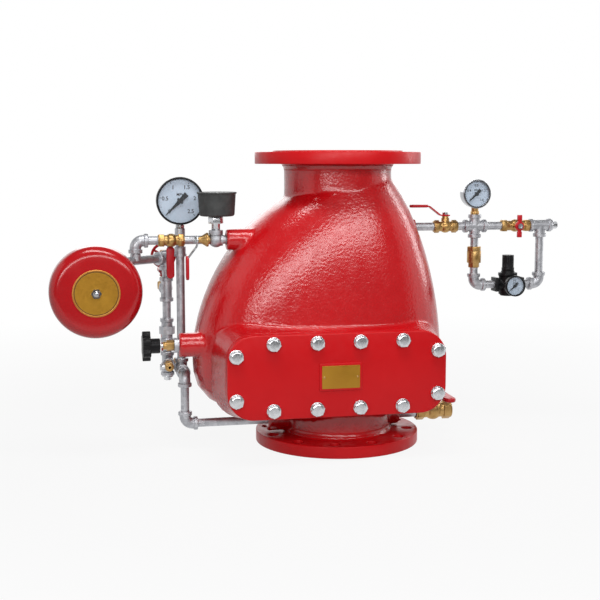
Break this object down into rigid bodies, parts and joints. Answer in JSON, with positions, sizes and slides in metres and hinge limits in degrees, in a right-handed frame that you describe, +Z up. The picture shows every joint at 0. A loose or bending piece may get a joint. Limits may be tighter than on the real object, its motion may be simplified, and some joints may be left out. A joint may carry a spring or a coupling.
{
  "type": "sprinkler alarm valve",
  "caption": "Flanged dry-type sprinkler alarm valve with a bolted hand-hole cover, swinging clapper, air trim with regulator, gauges and a water motor gong.",
  "frame": {"origin": "centre of the lower (inlet) flange's raised face", "axes": "+Z up along the flow to the outlet flange, -Y out of the hand-hole cover, +X towards the air trim"},
  "size_m": [1.086, 0.3919, 0.606],
  "materials": {
    "body_paint": "glossy red enamel over a sand-cast surface",
    "cover_paint": "glossy red enamel over a smooth plate",
    "lever_red": "red vinyl-dipped lever",
    "bell_red": "glossy red enamel on pressed steel",
    "zinc": "bright zinc plate",
    "galvanised": "galvanised malleable iron and pipe",
    "steel": "turned stainless steel",
    "brass": "forged and turned brass",
    "bronze": "cast bronze",
    "rubber": "black rubber",
    "black_plastic": "moulded black plastic",
    "black_enamel": "black enamelled steel",
    "grey_enamel": "dark grey hammered enamel",
    "chrome": "chromed steel",
    "dial": "pale printed dial",
    "glass": "clear gauge glass"
  },
  "bodies": {
    "valve": {"valve_body": "body_paint", "handhole_cover": "cover_paint", "cover_gasket": "rubber", "cover_bolts": "zinc", "seat_ring": "bronze", "hinge_bracket": "bronze", "hinge_pin": "steel", "switch_valve_body": "galvanised", "switch_valve_bonnet": "brass", "pressure_switch": "grey_enamel", "pressure_switch_base": "zinc", "gong_valve_body": "brass", "test_valve_body": "brass", "return_valve_body": "brass", "wheel_valve_body": "brass", "drain_cock_body": "brass", "needle_valve_body": "brass", "water_gauge_case": "black_enamel", "air_gauge_case": "chrome", "regulator_gauge_case": "black_plastic", "gauge_dials": "dial", "gauge_lenses": "glass", "air_valve_body": "brass", "bypass_valve_body": "brass", "check_valve_body": "brass", "regulator_body": "black_plastic", "drain_valve_body": "brass", "gong_bell": "bell_red", "gong_motor_housing": "body_paint", "gong_spindle": "chrome", "trim_fittings": "galvanised", "trim_pipes": "galvanised", "trim_plugs": "zinc"},
    "clapper_swing": {"clapper": "bronze", "clapper_seal": "rubber", "seal_clamp_plate": "steel", "clapper_bolt": "steel"},
    "switch_lever": {"switch_valve_stem": "steel", "switch_valve_lever": "lever_red"},
    "gong_lever": {"gong_valve_stem": "steel", "gong_valve_lever": "lever_red"},
    "test_lever": {"test_valve_handle": "lever_red"},
    "return_lever": {"return_valve_handle": "lever_red"},
    "handwheel": {"wheel_valve_wheel": "lever_red"},
    "cock_key": {"drain_cock_key": "zinc"},
    "needle_knob": {"needle_valve_stem": "steel", "needle_valve_knob": "black_plastic"},
    "water_pointer": {"water_gauge_pointer": "black_enamel"},
    "air_pointer": {"air_gauge_pointer": "black_enamel"},
    "regulator_pointer": {"regulator_gauge_pointer": "black_enamel"},
    "air_lever": {"air_valve_stem": "steel", "air_valve_lever": "lever_red"},
    "bypass_butterfly": {"bypass_valve_stem": "steel", "bypass_valve_handle": "lever_red"},
    "poppet": {"check_valve_poppet": "steel"},
    "adjuster": {"regulator_knob": "black_plastic"},
    "drain_lever": {"drain_valve_stem": "steel", "drain_valve_lever": "lever_red"},
    "striker": {"gong_rotor": "steel"}
  },
  "joints": [
    {"name": "clapper_hinge", "type": "hinge", "parent": "valve", "child": "clapper_swing", "pos_m": [-0.165, 0, 0.13], "axis": [0, -1, 0], "range_deg": [0, 75]},
    {"name": "switch_valve_turn", "type": "hinge", "parent": "valve", "child": "switch_lever", "pos_m": [-0.258, -0.04, 0.43], "axis": [-1, 0, 0], "range_deg": [0, 90]},
    {"name": "gong_valve_turn", "type": "hinge", "parent": "valve", "child": "gong_lever", "pos_m": [-0.343, 0, 0.427], "axis": [0, -1, 0], "range_deg": [0, 90]},
    {"name": "test_valve_turn", "type": "hinge", "parent": "valve", "child": "test_lever", "pos_m": [-0.349, 0.1115, 0.322], "axis": [0, 0, 1], "range_deg": [0, 90]},
    {"name": "return_valve_turn", "type": "hinge", "parent": "valve", "child": "return_lever", "pos_m": [-0.321, 0.0975, 0.155], "axis": [-1, 0, 0], "range_deg": [0, 90]},
    {"name": "handwheel_turn", "type": "hinge", "parent": "valve", "child": "handwheel", "pos_m": [-0.349, 0.116, 0.387], "axis": [0, 1, 0], "range_deg": [0, 720]},
    {"name": "cock_key_turn", "type": "hinge", "parent": "valve", "child": "cock_key", "pos_m": [-0.349, 0.018, 0.167], "axis": [-1, 0, 0], "range_deg": [0, 90]},
    {"name": "needle_knob_turn", "type": "hinge", "parent": "valve", "child": "needle_knob", "pos_m": [-0.39, -0.04, 0.22], "axis": [-1, 0, 0], "range_deg": [0, 720]},
    {"name": "water_pointer_turn", "type": "hinge", "parent": "valve", "child": "water_pointer", "pos_m": [-0.321, 0.03, 0.5045], "axis": [0, 1, 0], "range_deg": [0, 270], "stiffness_Nm_per_rad": 0.0008},
    {"name": "air_pointer_turn", "type": "hinge", "parent": "valve", "child": "air_pointer", "pos_m": [0.3115, 0.02, 0.515], "axis": [0, 1, 0], "range_deg": [0, 270], "stiffness_Nm_per_rad": 0.0005},
    {"name": "regulator_pointer_turn", "type": "hinge", "parent": "valve", "child": "regulator_pointer", "pos_m": [0.39, -0.01, 0.319], "axis": [0, 1, 0], "range_deg": [0, 270], "stiffness_Nm_per_rad": 0.0004},
    {"name": "air_valve_turn", "type": "hinge", "parent": "valve", "child": "air_lever", "pos_m": [0.245, 0.03, 0.446], "axis": [0, 0, 1], "range_deg": [0, 90]},
    {"name": "bypass_valve_turn", "type": "hinge", "parent": "valve", "child": "bypass_butterfly", "pos_m": [0.404, 0.03, 0.446], "axis": [0, -1, 0], "range_deg": [0, 90]},
    {"name": "poppet_lift", "type": "slide", "parent": "valve", "child": "poppet", "axis": [0, 0, 1], "range_m": [0, 0.005]},
    {"name": "adjuster_turn", "type": "hinge", "parent": "valve", "child": "adjuster", "pos_m": [0.39, 0.03, 0.365], "axis": [0, 0, 1], "range_deg": [0, 720]},
    {"name": "drain_valve_turn", "type": "hinge", "parent": "valve", "child": "drain_lever", "pos_m": [0.2125, 0, 0.054], "axis": [0, 0, 1], "range_deg": [0, 90]},
    {"name": "striker_spin", "type": "hinge", "parent": "valve", "child": "striker", "pos_m": [-0.496, -0.06, 0.335], "axis": [0, 1, 0], "continuous": true}
  ]
}
